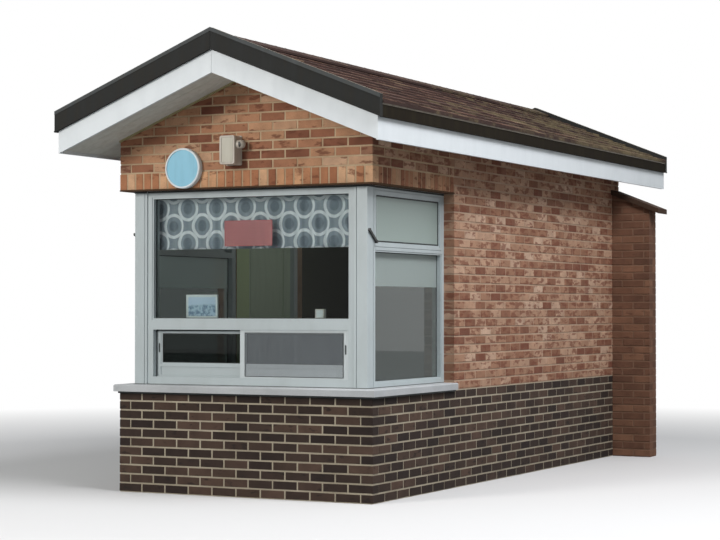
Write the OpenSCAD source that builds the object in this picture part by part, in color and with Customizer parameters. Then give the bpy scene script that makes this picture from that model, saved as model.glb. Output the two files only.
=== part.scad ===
/* [Brick body] */
// Outside width of the brick walls, left to right
body_w = 2130; // [1900:10:2600]
// Outside length of the brick walls, front to back
body_l = 5170; // [4400:10:6000]
// Thickness of the brick walls
wall_t = 190; // [150:5:240]
// Height of the low walls under the windows
low_wall_h = 752; // [600:1:900]
// Underside of the brick band over the windows
head_h = 2255; // [2150:5:2350]
// Height of the band of upright bricks over the windows
lintel_h = 200; // [150:5:260]
// Length of the glazed bay along each side
bay_l = 1400; // [1100:10:1800]
// Thickness of the floor inside the walls
floor_t = 100; // [60:5:150]

/* [Roof] */
// Rise of the roof for each unit of run
pitch = 0.4; // [0.3:0.01:0.5]
// How far the roof reaches past the side walls
eave_over = 255; // [200:5:400]
// How far the roof reaches past the front gable
front_over = 430; // [300:5:600]
// How far the roof reaches past the rear wall
rear_over = 570; // [300:5:650]
// Height of the underside of the eave boards
eave_h = 2521; // [2480:1:2700]
// Height of the white eave and gable boards
board_h = 164; // [120:1:220]
// Thickness of the white eave and gable boards
board_t = 25; // [18:1:35]
// Height of the black trim above the gable boards
verge_h = 155; // [120:1:200]
// How far the black trims stand out past the white boards
trim_out = 25; // [15:1:40]
// Courses of shingles on each slope
courses = 10; // [6:1:14]
// Thickness of a shingle's lower edge
shingle_butt = 14; // [8:1:20]
// Width of one soffit board
soffit_board = 150; // [100:10:300]

/* [Glazed bay] */
// How far the corner posts stand back from the brick faces
post_in = 80; // [60:5:100]
// Side of the square corner posts
post_s = 110; // [90:5:120]
// Width of the window frames' uprights, with their glazing beads
jamb_w = 50; // [40:1:70]
// Height of the frame's top rail
head_rail = 60; // [40:1:80]
// Top of the rail between the upper pane and the sliding windows
transom_top = 1300; // [1200:5:1400]
// Height of that rail
transom_h = 70; // [50:1:90]
// Height of the bottom rail under the sliding tracks
track_h = 46; // [35:1:60]
// Middle of the line where the two sliding windows meet
meet_x = -48; // [-100:1:100]
// Width of the sliding windows' uprights
stile_w = 50; // [40:1:60]
// Height of the closed foot of each sliding window
kick_h = 118; // [100:1:140]
// Underside of the hinged side window
awning_bottom = 1815; // [1700:5:1900]

/* [Door] */
// Distance of the door opening from the front wall's face
door_y = 1600; // [1500:10:3500]
// Width of the door opening
door_w = 900; // [800:10:1000]
// Height of the top of the door opening
door_h = 2150; // [2050:5:2200]

/* [Hidden] */
// Depths and thicknesses of the window parts
frame_d = 90;
face_step = 10;
sash_d = 28;
glass_t = 6;
rebate = 10;
play = 0.5;
bead_w = 12;
bead_step = 5;
pane_set = 40;
// Sliding windows: top rail, the bars and the sunk panel of the foot, the pull and the meeting fin
sash_head = 42;
foot_bar = 30;
panel_sink = 6;
pull_l = 70;
pull_w = 14;
pull_d = 5;
fin_w = 8;
// Double track: the ribs that the sliding windows run on, and the lips on either side of them
outer_track = post_in + face_step + 8;
inner_track = post_in + face_step + 46;
rib_w = 4;
rib_h = 6;
lip_t = 4;
lip_h = 14;
// Grooves beside the corner posts' cover strips, and the posts' eased corner
groove_w = 6;
groove_d = 5;
groove_in = 18;
ease = 6;
// Stone slab under the windows
slab_t = 52;
slab_out = 30;
slab_front = 40;
slab_ease = 8;
drip_w = 8;
drip_d = 6;
drip_in = 12;
// Side windows
bay_y = post_in + post_s;
side_l = bay_l - bay_y;
pane_side = 40;
mid_rail = 34;
awning_side = 20;
awning_head = 30;
awning_bar = 36;
awning_d = 34;
awning_set = 12;
stop_w = 10;
reveal = 3;
reveal_d = 10;
// Stays of the side windows
stay_in = 95;
stay_up = 118;
stay_angle = 36;
stay_l = 140;
stay_w = 18;
stay_t = 14;
stay_pin = 11;
pin_head = 2;
// Curtain and its rod
rod_z = 2205;
rod_r = 8;
rod_set = 25;
rod_plate = 24;
rod_plate_h = 30;
rod_edge = 3;
curtain_w = 1710;
curtain_t = 18;
curtain_low = 1816;
curtain_top = 2192;
// Things that stand or hang behind the upper pane: left edge, width and height
notice_x = -563;
notice_w = 274;
notice_h = 176;
notice_t = 16;
plate_x = -230;
plate_w = 406;
plate_h = 189;
plate_t = 3;
plate_low = 1833;
box_x = 529;
box_w = 74;
box_h = 70;
box_t = 36;
box_gap = 2;
plate_rim = 10;
plate_sink = 2;
// Soffit boards and the roof slab above them
lip = 12;
soffit_t = 12;
soffit_gap = 4;
soffit_cut = 3;
slab_rise = 262;
underlay = 8;
ridge_half = 150;
ridge_t = 16;
mitre_gap = 1;
// Drip lips of the black trims
drip_lip = 6;
drip_lip_h = 12;
eave_drop = 8;
// Door
door_bar = 45;
door_d = 100;
door_set = 45;
leaf_in = 20;
leaf_t = 40;
leaf_gap = 3;
leaf_lift = 8;
door_stop = 12;
panel_in = 110;
panel_split = 950;
panel_rail = 120;
hinge_r = 8;
hinge_l = 90;
hinge_off = 9;
hinge_rises = [200, 980, 1760];
lever_z = 1050;
lever_in = 110;
lever_r = 9;
lever_l = 115;
lever_out = 50;
rose_r = 26;
rose_t = 8;
key_r = 18;
key_drop = 85;
key_t = 4;
// Walls that stand out at the back corners
wing_w = 360;
wing_top = 2433;
cap_t = 45;
cap_out = 100;
cap_side = 30;
// Fittings on the front gable
disc_x = -489;
disc_z = 2409;
disc_r = 150;
disc_t = 42;
disc_rim_w = 14;
disc_sink = 10;
disc_face_t = 4;
disc_ease = 5;
lamp_x = -66;
lamp_z = 2525;
lamp_w = 132;
lamp_h = 215;
lamp_d = 105;
lamp_round = 16;
lamp_plate = 10;
lamp_border = 14;
lens_sink = 4;
sensor_r = 32;
sensor_l = 60;
sensor_y = 60;
sensor_up = 40;

half_w = body_w / 2;
inner_x = half_w - wall_t;
eave_x = half_w + eave_over;
roof_front = -front_over;
roof_back = body_l + rear_over;
layer_front = roof_front + board_t;
layer_back = roof_back - board_t;
slab_top = low_wall_h + slab_t;
post_x = half_w - post_in;
face_y = post_in + face_step;
face_x = post_x - face_step;
back_y = face_y + frame_d;
pane_y = face_y + pane_set;
pane_back = pane_y + glass_t;
pane_x = post_x - post_s;
clear_x = pane_x - jamb_w;
upper_top = head_h - head_rail;
track_top = slab_top + track_h;
lower_top = transom_top - transom_h;
side_clear = side_l - jamb_w;
course_run = (eave_x + trim_out + 5) / courses;
leaf_face = -half_w + door_set + leaf_in;
mid_y = (roof_front + roof_back) / 2;

// Height of a plane that lies the given rise above the eave boards' lower edge
function roof_z(x, rise) = eave_h + rise + pitch * (eave_x - abs(x));
// Height of the soffit's underside, where the walls end
function soffit_z(x) = roof_z(x, lip);

// Everything is drawn with the front wall's face at y = 0, then centred on the plan
module centred() {
    translate([0, -mid_y, 0]) children();
}

// A box between two corners
module block(low, high) {
    translate(low) cube(high - low);
}

// The same piece on the right and on the left
module both_sides() {
    children();
    mirror([1, 0, 0]) children();
}

// An outline in x and z, drawn out from y0 to y1
module along_y(y0, y1) {
    translate([0, y1, 0]) rotate([90, 0, 0]) linear_extrude(y1 - y0) children();
}

// A piece drawn as if on the front, turned onto the right-hand side of the bay
module on_side() {
    translate([face_x, bay_y, 0]) rotate([0, 0, 90]) children();
}

// A wall whose top follows the underside of the roof
module wall_under_roof(x0, x1, y0, y1, z0) {
    along_y(y0, y1) polygon([[x0, z0], [x1, z0], [x1, soffit_z(x1)], [x0, soffit_z(x0)]]);
}

// One slope's layer between two planes above the eave boards' lower edge
module slope_layer(x0, x1, y0, y1, rise0, rise1) {
    along_y(min(y0, y1), max(y0, y1)) polygon([
        [x0, roof_z(x0, rise0)], [x1, roof_z(x1, rise0)],
        [x1, roof_z(x1, rise1)], [x0, roof_z(x0, rise1)]
    ]);
}

// What a pane takes out of its frame: the clear opening, and a step round it on both faces,
// which leaves the glazing bead standing back
module pane_opening(low, high) {
    block([low.x, low.y - 1, low.z], [high.x, high.y + 1, high.z]);
    for (y = [[low.y - 1, low.y + bead_step], [high.y - bead_step, high.y + 1]])
        block([low.x - bead_w, y[0], low.z - bead_w], [high.x + bead_w, y[1], high.z + bead_w]);
}

// A pane let into its frame all round the clear opening, or with grow the groove that holds it
module pane(low, high, grow) {
    edge = rebate + grow;
    block([low.x - edge, low.y - grow, low.z - edge], [high.x + edge, high.y + grow, high.z + edge]);
}

// A rectangle with rounded corners about the origin
module rounded(w, h, r) {
    square([w - 2 * r, h], center = true);
    square([w, h - 2 * r], center = true);
    for (x = [-1, 1], y = [-1, 1])
        translate([x * (w / 2 - r), y * (h / 2 - r)]) circle(r, $fn = 48);
}

// A square bar on edge, which eases the edge of a slab by the given width
module easing(size, length) {
    rotate([45, 0, 0]) cube([length, size * sqrt(2), size * sqrt(2)], center = true);
}

// A plate whose middle is sunk behind a rim, seen from the front
module framed_plate(low, high) {
    difference() {
        block(low, high);
        block([low.x + plate_rim, low.y - 1, low.z + plate_rim],
              [high.x - plate_rim, low.y + plate_sink, high.z - plate_rim]);
    }
}

module floor_slab() {
    color("darkgray") union() {
        block([-inner_x, wall_t, 0], [inner_x, body_l - wall_t, floor_t]);
        block([-half_w, door_y, 0], [-inner_x, door_y + door_w, floor_t]);
    }
}

module front_low_wall() {
    color("saddlebrown") block([-half_w, 0, 0], [half_w, wall_t, low_wall_h]);
}

module side_low_walls() {
    color("saddlebrown") both_sides()
        block([inner_x, wall_t, 0], [half_w, bay_l, low_wall_h]);
}

module right_wall() {
    color("peru") wall_under_roof(inner_x, half_w, bay_l, body_l, 0);
}

module left_wall_front() {
    color("peru") wall_under_roof(-half_w, -inner_x, bay_l, door_y, 0);
}

module left_wall_rear() {
    color("peru") wall_under_roof(-half_w, -inner_x, door_y + door_w, body_l, 0);
}

module left_wall_head() {
    color("peru") wall_under_roof(-half_w, -inner_x, door_y, door_y + door_w, door_h);
}

module rear_wall() {
    color("peru") along_y(body_l - wall_t, body_l) polygon([
        [-inner_x, 0], [inner_x, 0], [inner_x, soffit_z(inner_x)],
        [0, soffit_z(0)], [-inner_x, soffit_z(inner_x)]
    ]);
}

module gable_wall() {
    color("chocolate") along_y(0, wall_t) polygon([
        [-half_w, head_h + lintel_h], [half_w, head_h + lintel_h], [half_w, soffit_z(half_w)],
        [0, soffit_z(0)], [-half_w, soffit_z(half_w)]
    ]);
}

module front_lintel() {
    color("chocolate") block([-half_w, 0, head_h], [half_w, wall_t, head_h + lintel_h]);
}

module side_lintels() {
    color("sienna") both_sides() wall_under_roof(inner_x, half_w, wall_t, bay_l, head_h);
}

// Groove under the slab's edges, where the rain drips off before it meets the wall
module drip_groove() {
    x = half_w + slab_out - drip_in;
    y = drip_in - slab_front;
    difference() {
        block([-x, y, low_wall_h - 1], [x, bay_l + 1, low_wall_h + drip_d]);
        block([drip_w - x, y + drip_w, low_wall_h - 2], [x - drip_w, bay_l + 2, low_wall_h + drip_d + 1]);
    }
}

// Stone slab on the low walls, round three sides of the bay
module window_sill() {
    x = half_w + slab_out;
    color("gainsboro") difference() {
        block([-x, -slab_front, low_wall_h], [x, bay_l, slab_top]);
        block([-inner_x, wall_t, low_wall_h - 1], [inner_x, bay_l + 1, slab_top + 1]);
        drip_groove();
        translate([0, -slab_front, slab_top]) easing(slab_ease, 3 * x);
        both_sides() translate([x, bay_l / 2, slab_top]) rotate([0, 0, 90]) easing(slab_ease, 2 * bay_l);
    }
}

// Outline of the right-hand post: a groove beside the cover strip on each outer face
module post_outline() {
    difference() {
        translate([post_x - post_s, post_in]) square(post_s);
        translate([pane_x + groove_in, post_in - 1]) square([groove_w, groove_d + 1]);
        translate([post_x - groove_d, bay_y - groove_in - groove_w]) square([groove_d + 1, groove_w]);
        translate([post_x, post_in]) rotate(45) square(ease, center = true);
    }
}

module corner_posts() {
    color("whitesmoke") both_sides()
        translate([0, 0, slab_top]) linear_extrude(head_h - slab_top) post_outline();
}

module front_pane(grow = 0) {
    color("slategray") pane([-clear_x, pane_y, transom_top], [clear_x, pane_back, upper_top], grow);
}

// Ribs that carry the sliding windows, and the lips that keep them upright at foot and head
module double_track() {
    for (y = [outer_track, inner_track])
        block([-clear_x, y + sash_d / 2 - rib_w / 2, track_top],
              [clear_x, y + sash_d / 2 + rib_w / 2, track_top + rib_h]);
    middle = (outer_track + sash_d + inner_track) / 2;
    for (y = [face_y, middle - lip_t / 2, back_y - lip_t]) {
        block([-clear_x, y, track_top], [clear_x, y + lip_t, track_top + lip_h]);
        block([-clear_x, y, lower_top - lip_h], [clear_x, y + lip_t, lower_top]);
    }
}

// Frame of the front window: jambs, top rail, middle rail and the double track at the foot
module front_frame() {
    color("whitesmoke") union() {
        difference() {
            block([-pane_x, face_y, slab_top], [pane_x, back_y, head_h]);
            pane_opening([-clear_x, face_y, transom_top], [clear_x, back_y, upper_top]);
            block([-clear_x, face_y - 1, track_top], [clear_x, back_y + 1, lower_top]);
            front_pane(play);
        }
        double_track();
    }
}

module sliding_glass(x0, x1, y0, grow = 0) {
    front = y0 + (sash_d - glass_t) / 2;
    pane([x0 + stile_w, front, track_top + kick_h],
         [x1 - stile_w, front + glass_t, lower_top - sash_head], grow);
}

// Finger pull cut into an upright, round at both ends
module finger_pull(x, y0) {
    z = (track_top + kick_h + lower_top - sash_head) / 2;
    straight = (pull_l - pull_w) / 2;
    translate([x, y0 + pull_d, z]) rotate([90, 0, 0]) linear_extrude(pull_d + 1) {
        square([pull_w, 2 * straight], center = true);
        for (end = [-straight, straight])
            translate([0, end]) circle(pull_w / 2, $fn = 32);
    }
}

// A sliding window: beaded glass over a sunk panel, with a groove underneath for its rib
module sliding_sash(x0, x1, y0, pull_x) {
    z0 = track_top + play;
    y1 = y0 + sash_d;
    rib_edge = rib_w / 2 + play;
    difference() {
        block([x0, y0, z0], [x1, y1, lower_top - play]);
        pane_opening([x0 + stile_w, y0, track_top + kick_h], [x1 - stile_w, y1, lower_top - sash_head]);
        for (y = [[y0 - 1, y0 + panel_sink], [y1 - panel_sink, y1 + 1]])
            block([x0 + stile_w - bead_w, y[0], z0 + foot_bar],
                  [x1 - stile_w + bead_w, y[1], track_top + kick_h - foot_bar]);
        block([x0 - 1, y0 + sash_d / 2 - rib_edge, z0 - 1],
              [x1 + 1, y0 + sash_d / 2 + rib_edge, z0 + rib_h + play]);
        sliding_glass(x0, x1, y0, play);
        finger_pull(pull_x, y0);
    }
}

// The outer window carries the fin that closes the gap where the two windows meet
module right_sash() {
    x0 = meet_x - stile_w / 2;
    x1 = clear_x - play;
    color("whitesmoke") union() {
        sliding_sash(x0, x1, outer_track, x1 - stile_w / 2);
        block([meet_x - fin_w / 2, outer_track + sash_d, track_top + lip_h + play],
              [meet_x + fin_w / 2, inner_track - play, lower_top - lip_h - play]);
    }
}

module right_sash_glass() {
    color("lightslategray") sliding_glass(meet_x - stile_w / 2, clear_x - play, outer_track);
}

module left_sash() {
    x0 = -clear_x + play;
    color("whitesmoke") sliding_sash(x0, meet_x + stile_w / 2, inner_track, x0 + stile_w / 2);
}

module left_sash_glass() {
    color("darkslategray") sliding_glass(-clear_x + play, meet_x + stile_w / 2, inner_track);
}

module side_pane(grow = 0) {
    pane([pane_side, pane_set, track_top], [side_clear, pane_set + glass_t, awning_bottom - mid_rail], grow);
}

module side_panes() {
    color("slategray") both_sides() on_side() side_pane();
}

// Frames in the sides of the bay: a fixed pane below, and above it the rebate of a hinged window
module side_frames() {
    color("gainsboro") both_sides() on_side() difference() {
        block([0, 0, slab_top], [side_l, frame_d, head_h]);
        pane_opening([pane_side, 0, track_top], [side_clear, frame_d, awning_bottom - mid_rail]);
        block([awning_side, -1, awning_bottom], [side_clear, awning_d, head_h - awning_head]);
        block([awning_side + stop_w, awning_d - 1, awning_bottom + stop_w],
              [side_clear - stop_w, frame_d + 1, head_h - awning_head - stop_w]);
        side_pane(play);
    }
}

module awning_pane(grow = 0) {
    pane([awning_side + awning_bar, awning_set, awning_bottom + awning_bar],
         [side_clear - awning_bar, awning_set + glass_t, head_h - awning_head - awning_bar], grow);
}

// Hinged windows, stepped at the edge so that a dark gap shows all round
module awning_sashes() {
    low = [awning_side + play, 0, awning_bottom + play];
    high = [side_clear - play, awning_d, head_h - awning_head - play];
    color("gainsboro") both_sides() on_side() difference() {
        union() {
            block([low.x, reveal_d, low.z], high);
            block([low.x + reveal, 0, low.z + reveal], [high.x - reveal, awning_d, high.z - reveal]);
        }
        pane_opening([awning_side + awning_bar, 0, awning_bottom + awning_bar],
                     [side_clear - awning_bar, awning_d, head_h - awning_head - awning_bar]);
        awning_pane(play);
    }
}

module awning_glass() {
    color("honeydew") both_sides() on_side() awning_pane();
}

// Stays of the hinged windows: an arm on the post's face, its pin on the window's frame
module awning_stays() {
    color("dimgray") both_sides()
        translate([post_x, bay_y - stay_in, awning_bottom + stay_up]) rotate([-stay_angle, 0, 0]) {
            block([0, 0, -stay_w / 2], [stay_t, stay_l, stay_w / 2]);
            rotate([0, 90, 0]) cylinder(h = stay_t + pin_head, r = stay_pin, $fn = 32);
            translate([-face_step, stay_l, 0]) rotate([0, 90, 0])
                cylinder(h = face_step + stay_t + pin_head, r = stay_pin, $fn = 32);
        }
}

module valance() {
    y = back_y + rod_set - curtain_t / 2;
    color("lightsteelblue") block([-curtain_w / 2, y, curtain_low],
                                  [curtain_w / 2, y + curtain_t, curtain_top]);
}

// Rod of the curtain, between two plates on the frame's inner face
module curtain_rod() {
    color("silver") union() {
        translate([-pane_x, back_y + rod_set, rod_z]) rotate([0, 90, 0])
            cylinder(h = 2 * pane_x, r = rod_r, $fn = 32);
        both_sides() block([pane_x - rod_plate, back_y, rod_z - rod_plate_h / 2],
                           [pane_x, back_y + rod_set + rod_r + rod_edge, rod_z + rod_plate_h / 2]);
    }
}

module notice_board() {
    color("white") framed_plate([notice_x, pane_back, transom_top],
                                [notice_x + notice_w, pane_back + notice_t, transom_top + notice_h]);
}

module red_plate() {
    color("indianred") block([plate_x, pane_back, plate_low],
                             [plate_x + plate_w, pane_back + plate_t, plate_low + plate_h]);
}

module sill_box() {
    y = pane_back + box_gap;
    color("white") framed_plate([box_x, y, transom_top], [box_x + box_w, y + box_t, transom_top + box_h]);
}

// Hinge knuckles in the corner between the door's frame and its leaf
module hinges() {
    for (rise = hinge_rises)
        translate([leaf_face - hinge_off, door_y + door_bar + hinge_r - 1, floor_t + rise])
            cylinder(h = hinge_l, r = hinge_r, $fn = 32);
}

// Frame of the door, with the stop that the leaf closes on
module door_frame() {
    x0 = -half_w + door_set;
    edge = door_bar + door_stop;
    color("gainsboro") union() {
        difference() {
            block([x0, door_y, floor_t], [x0 + door_d, door_y + door_w, door_h]);
            block([x0 - 1, door_y + door_bar, floor_t - 1],
                  [leaf_face + leaf_t, door_y + door_w - door_bar, door_h - door_bar]);
            block([x0, door_y + edge, floor_t - 1], [x0 + door_d + 1, door_y + door_w - edge, door_h - edge]);
        }
        hinges();
    }
}

// Flush door with two sunk panels on each face
module door_leaf() {
    y0 = door_y + door_bar + leaf_gap;
    y1 = door_y + door_w - door_bar - leaf_gap;
    z0 = floor_t + leaf_lift;
    z1 = door_h - door_bar - leaf_gap;
    back = leaf_face + leaf_t;
    color("darkseagreen") difference() {
        block([leaf_face, y0, z0], [back, y1, z1]);
        for (x = [[leaf_face - 1, leaf_face + panel_sink], [back - panel_sink, back + 1]],
             z = [[z0 + panel_in, panel_split - panel_rail / 2],
                  [panel_split + panel_rail / 2, z1 - panel_in]])
            block([x[0], y0 + panel_in, z[0]], [x[1], y1 - panel_in, z[1]]);
    }
}

// Lever handle on its rose, with a key plate below
module door_handle() {
    color("silver") translate([leaf_face, door_y + door_w - lever_in, lever_z]) {
        translate([-rose_t, 0, 0]) rotate([0, 90, 0]) cylinder(h = rose_t, r = rose_r, $fn = 48);
        translate([-key_t, 0, -key_drop]) rotate([0, 90, 0]) cylinder(h = key_t, r = key_r, $fn = 48);
        translate([-lever_out, 0, 0]) {
            rotate([0, 90, 0]) cylinder(h = lever_out - rose_t + 1, r = lever_r, $fn = 32);
            rotate([90, 0, 0]) cylinder(h = lever_l, r = lever_r, $fn = 32);
            for (end = [0, -lever_l])
                translate([0, end, 0]) sphere(r = lever_r, $fn = 32);
        }
    }
}

// Boards under the roof, with a groove between each two
module soffit_boards() {
    color("rosybrown") both_sides() difference() {
        slope_layer(mitre_gap, eave_x - board_t, layer_front, layer_back, lip, lip + soffit_t);
        for (y = [layer_front + soffit_board : soffit_board : layer_back - soffit_gap])
            slope_layer(0, eave_x, y - soffit_gap / 2, y + soffit_gap / 2, lip - 1, lip + soffit_cut);
    }
}

module roof_slab_right() {
    color("tan") slope_layer(0, eave_x - board_t, layer_front, layer_back, lip + soffit_t, slab_rise);
}

module roof_slab_left() {
    color("tan") mirror([1, 0, 0])
        slope_layer(0, eave_x - board_t, layer_front, layer_back, lip + soffit_t, slab_rise);
}

// Outline of the lapped courses, thick at each lower edge and thin at its head
module course_outline() {
    last = courses * course_run;
    polygon(concat(
        [[last, roof_z(last, slab_rise)], [0, roof_z(0, slab_rise)]],
        [for (i = [0 : courses - 1]) each [
            [i * course_run, roof_z(i * course_run, slab_rise + underlay)],
            [(i + 1) * course_run, roof_z((i + 1) * course_run, slab_rise + underlay + shingle_butt)]
        ]]
    ));
}

module shingles_right() {
    color("rosybrown") along_y(layer_front, layer_back) course_outline();
}

module shingles_left() {
    color("rosybrown") mirror([1, 0, 0]) along_y(layer_front, layer_back) course_outline();
}

// Cap over the ridge: a strip on the top courses of each slope, mitred where the two meet
module ridge_cap() {
    low = slab_rise + underlay + shingle_butt;
    color("saddlebrown") both_sides()
        slope_layer(mitre_gap, ridge_half, layer_front, layer_back, low, low + ridge_t);
}

module fascia_boards() {
    color("white") both_sides()
        block([eave_x - board_t, layer_front, eave_h], [eave_x, layer_back, eave_h + board_h]);
}

module barge_boards() {
    color("white") both_sides() {
        slope_layer(mitre_gap, eave_x, roof_front, layer_front, 0, board_h);
        slope_layer(mitre_gap, eave_x, layer_back, roof_back, 0, board_h);
    }
}

// Black cover of one verge, from the board's outer face y, with a drip lip along its foot;
// out is -1 towards the front and 1 towards the back
module verge_trim(y, out) {
    inner = y - out * board_t;
    reach = eave_x + trim_out;
    slope_layer(mitre_gap, reach, inner, y + out * (trim_out - drip_lip), board_h, board_h + verge_h);
    slope_layer(mitre_gap, reach, inner, y + out * trim_out, board_h, board_h + drip_lip_h);
}

module verge_trims() {
    color("darkslategray") both_sides() {
        verge_trim(roof_front, -1);
        verge_trim(roof_back, 1);
    }
}

// Black trim along each eave: it laps over the white board and ends in the same drip lip
module eave_trims() {
    reach = eave_x + trim_out;
    face = reach - drip_lip;
    board_top = eave_h + board_h;
    foot = board_top - eave_drop;
    color("darkslategray") both_sides() along_y(layer_front, layer_back) polygon([
        [eave_x - board_t, board_top], [eave_x, board_top], [eave_x, foot], [reach, foot],
        [reach, foot + drip_lip_h], [face, foot + drip_lip_h],
        [face, roof_z(face, slab_rise)], [eave_x - board_t, roof_z(eave_x - board_t, slab_rise)]
    ]);
}

// Round housing turned about its own middle, with an eased rim round a sunk face
module disc_rim() {
    face_r = disc_r - disc_rim_w;
    color("white") translate([disc_x, 0, disc_z]) rotate([90, 0, 0]) rotate_extrude($fn = 96) polygon([
        [0, 0], [disc_r, 0], [disc_r, disc_t - disc_ease], [disc_r - disc_ease, disc_t],
        [face_r, disc_t], [face_r, disc_t - disc_sink], [0, disc_t - disc_sink]
    ]);
}

module disc_face() {
    color("skyblue") translate([disc_x, 0, disc_z]) rotate([90, 0, 0])
        translate([0, 0, disc_t - disc_sink]) cylinder(h = disc_face_t, r = disc_r - disc_rim_w, $fn = 96);
}

// Wall lamp: back plate, rounded housing with a sunk lens, and a round-ended sensor on its side
module wall_lamp() {
    case_w = lamp_w - lamp_border / 2;
    case_h = lamp_h - lamp_border / 2;
    color("white") translate([lamp_x, 0, lamp_z]) union() {
        rotate([90, 0, 0]) difference() {
            union() {
                linear_extrude(lamp_plate) rounded(lamp_w, lamp_h, lamp_round / 2);
                linear_extrude(lamp_d) rounded(case_w, case_h, lamp_round);
            }
            translate([0, 0, lamp_d - lens_sink]) linear_extrude(lens_sink + 1)
                rounded(case_w - 2 * lamp_border, case_h - 2 * lamp_border, lamp_round / 2);
        }
        translate([lamp_w / 2 - lamp_border, -sensor_y, sensor_up]) rotate([0, 90, 0])
            cylinder(h = lamp_border + sensor_l - sensor_r, r = sensor_r, $fn = 48);
        translate([lamp_w / 2 + sensor_l - sensor_r, -sensor_y, sensor_up]) sphere(r = sensor_r, $fn = 48);
    }
}

module wing_walls() {
    color("saddlebrown") both_sides() along_y(body_l - wall_t, body_l) polygon([
        [half_w, 0], [half_w + wing_w, 0],
        [half_w + wing_w, wing_top - pitch * wing_w], [half_w, wing_top]
    ]);
}

module wing_caps() {
    reach = wing_w + cap_out;
    color("dimgray") both_sides() along_y(body_l - wall_t - cap_side, body_l + cap_side) polygon([
        [half_w, wing_top], [half_w + reach, wing_top - pitch * reach],
        [half_w + reach, wing_top + cap_t - pitch * reach], [half_w, wing_top + cap_t]
    ]);
}

centred() floor_slab();
centred() front_low_wall();
centred() side_low_walls();
centred() right_wall();
centred() left_wall_front();
centred() left_wall_rear();
centred() left_wall_head();
centred() rear_wall();
centred() gable_wall();
centred() front_lintel();
centred() side_lintels();
centred() window_sill();
centred() corner_posts();
centred() front_frame();
centred() front_pane();
centred() left_sash();
centred() left_sash_glass();
centred() right_sash();
centred() right_sash_glass();
centred() side_frames();
centred() awning_sashes();
centred() awning_glass();
centred() side_panes();
centred() awning_stays();
centred() valance();
centred() curtain_rod();
centred() notice_board();
centred() red_plate();
centred() sill_box();
centred() door_frame();
centred() door_leaf();
centred() door_handle();
centred() soffit_boards();
centred() roof_slab_right();
centred() roof_slab_left();
centred() shingles_right();
centred() shingles_left();
centred() ridge_cap();
centred() fascia_boards();
centred() barge_boards();
centred() verge_trims();
centred() eave_trims();
centred() disc_rim();
centred() disc_face();
centred() wall_lamp();
centred() wing_walls();
centred() wing_caps();
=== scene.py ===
# Brick guard booth: running bond walls, glazed bay with sliding windows, shingled gable roof
import math
from types import SimpleNamespace
import bmesh
import bpy
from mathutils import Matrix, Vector


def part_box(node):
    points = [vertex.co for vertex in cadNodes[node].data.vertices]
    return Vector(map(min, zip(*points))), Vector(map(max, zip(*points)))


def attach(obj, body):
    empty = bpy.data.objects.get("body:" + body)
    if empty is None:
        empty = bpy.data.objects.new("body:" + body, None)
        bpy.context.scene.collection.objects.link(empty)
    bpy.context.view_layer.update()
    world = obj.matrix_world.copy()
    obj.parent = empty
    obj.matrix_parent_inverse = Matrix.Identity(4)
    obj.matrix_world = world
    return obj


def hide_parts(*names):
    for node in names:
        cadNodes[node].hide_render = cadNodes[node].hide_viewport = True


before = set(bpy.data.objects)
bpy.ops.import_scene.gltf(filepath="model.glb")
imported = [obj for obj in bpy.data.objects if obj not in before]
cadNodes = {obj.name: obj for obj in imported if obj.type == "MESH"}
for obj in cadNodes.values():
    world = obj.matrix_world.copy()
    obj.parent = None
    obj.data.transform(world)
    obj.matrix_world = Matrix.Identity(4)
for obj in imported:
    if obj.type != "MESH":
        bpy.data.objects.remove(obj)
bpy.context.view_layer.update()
print("frame loaded with", len(cadNodes), "nodes")

# Main lines of the building, read from the frame
innerHalf, bayEnd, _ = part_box("right_wall")[0]
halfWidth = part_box("right_wall")[1].x
frontFace, innerFront = [corner.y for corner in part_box("front_low_wall")]
innerRear, rearFace = [corner.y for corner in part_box("rear_wall")]
lintelBottom, lintelTop = [corner.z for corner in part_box("front_lintel")]
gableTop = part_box("gable_wall")[1].z
roofPitch = (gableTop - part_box("right_wall")[1].z) / innerHalf
wallTop = gableTop - roofPitch * halfWidth
wallLength = rearFace - frontFace
bayRun = bayEnd - frontFace
hair = 0.0002  # keeps one surface off the next
near = 0.001  # closer than this is the same place


# Node helpers: each adds to the tree that is open, and outputs can stand in sums

bench = dict(tree=None)  # the open tree


class Wire:
    def __init__(self, socket):
        self.socket = socket

    def __rsub__(self, other):
        return calc("SUBTRACT", other, self)

    def __abs__(self):
        return calc("ABSOLUTE", self)


def operator(operation):
    return lambda first, second: calc(operation, first, second)


operators = dict(add="ADD", sub="SUBTRACT", mul="MULTIPLY", truediv="DIVIDE", mod="FLOORED_MODULO",
                 gt="GREATER_THAN", lt="LESS_THAN")
for name, operation in operators.items():
    setattr(Wire, f"__{name}__", operator(operation))


def plug(value, socket):
    if isinstance(value, Wire):
        bench["tree"].links.new(value.socket, socket)
    else:
        socket.default_value = value


def addNode(kind, inputs=None, **settings):
    node = bench["tree"].nodes.new(kind)
    for name, value in settings.items():
        setattr(node, name, value)
    for key, value in (inputs or {}).items():
        plug(value, node.inputs[key])
    return node


def wire(kind, inputs=None, output=0, **settings):
    return Wire(addNode(kind, inputs, **settings).outputs[output])


def calc(operation, *values):
    return wire("ShaderNodeMath", dict(enumerate(values)), operation=operation)


def spread(value, fromLow, fromHigh, toLow, toHigh):
    # Map Range, clamped
    return wire("ShaderNodeMapRange", dict(enumerate((value, fromLow, fromHigh, toLow, toHigh))))


def parts(vector):
    return [Wire(output) for output in addNode("ShaderNodeSeparateXYZ", {0: vector}).outputs]


def joined(x, y, z):
    return wire("ShaderNodeCombineXYZ", {0: x, 1: y, 2: z})


# Materials

def tint(red, green, blue):
    # sRGB from 0 to 255 into the linear values that sockets take
    return tuple(((c / 255 + 0.055) / 1.055) ** 2.4 for c in (red, green, blue)) + (1.0,)


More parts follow.
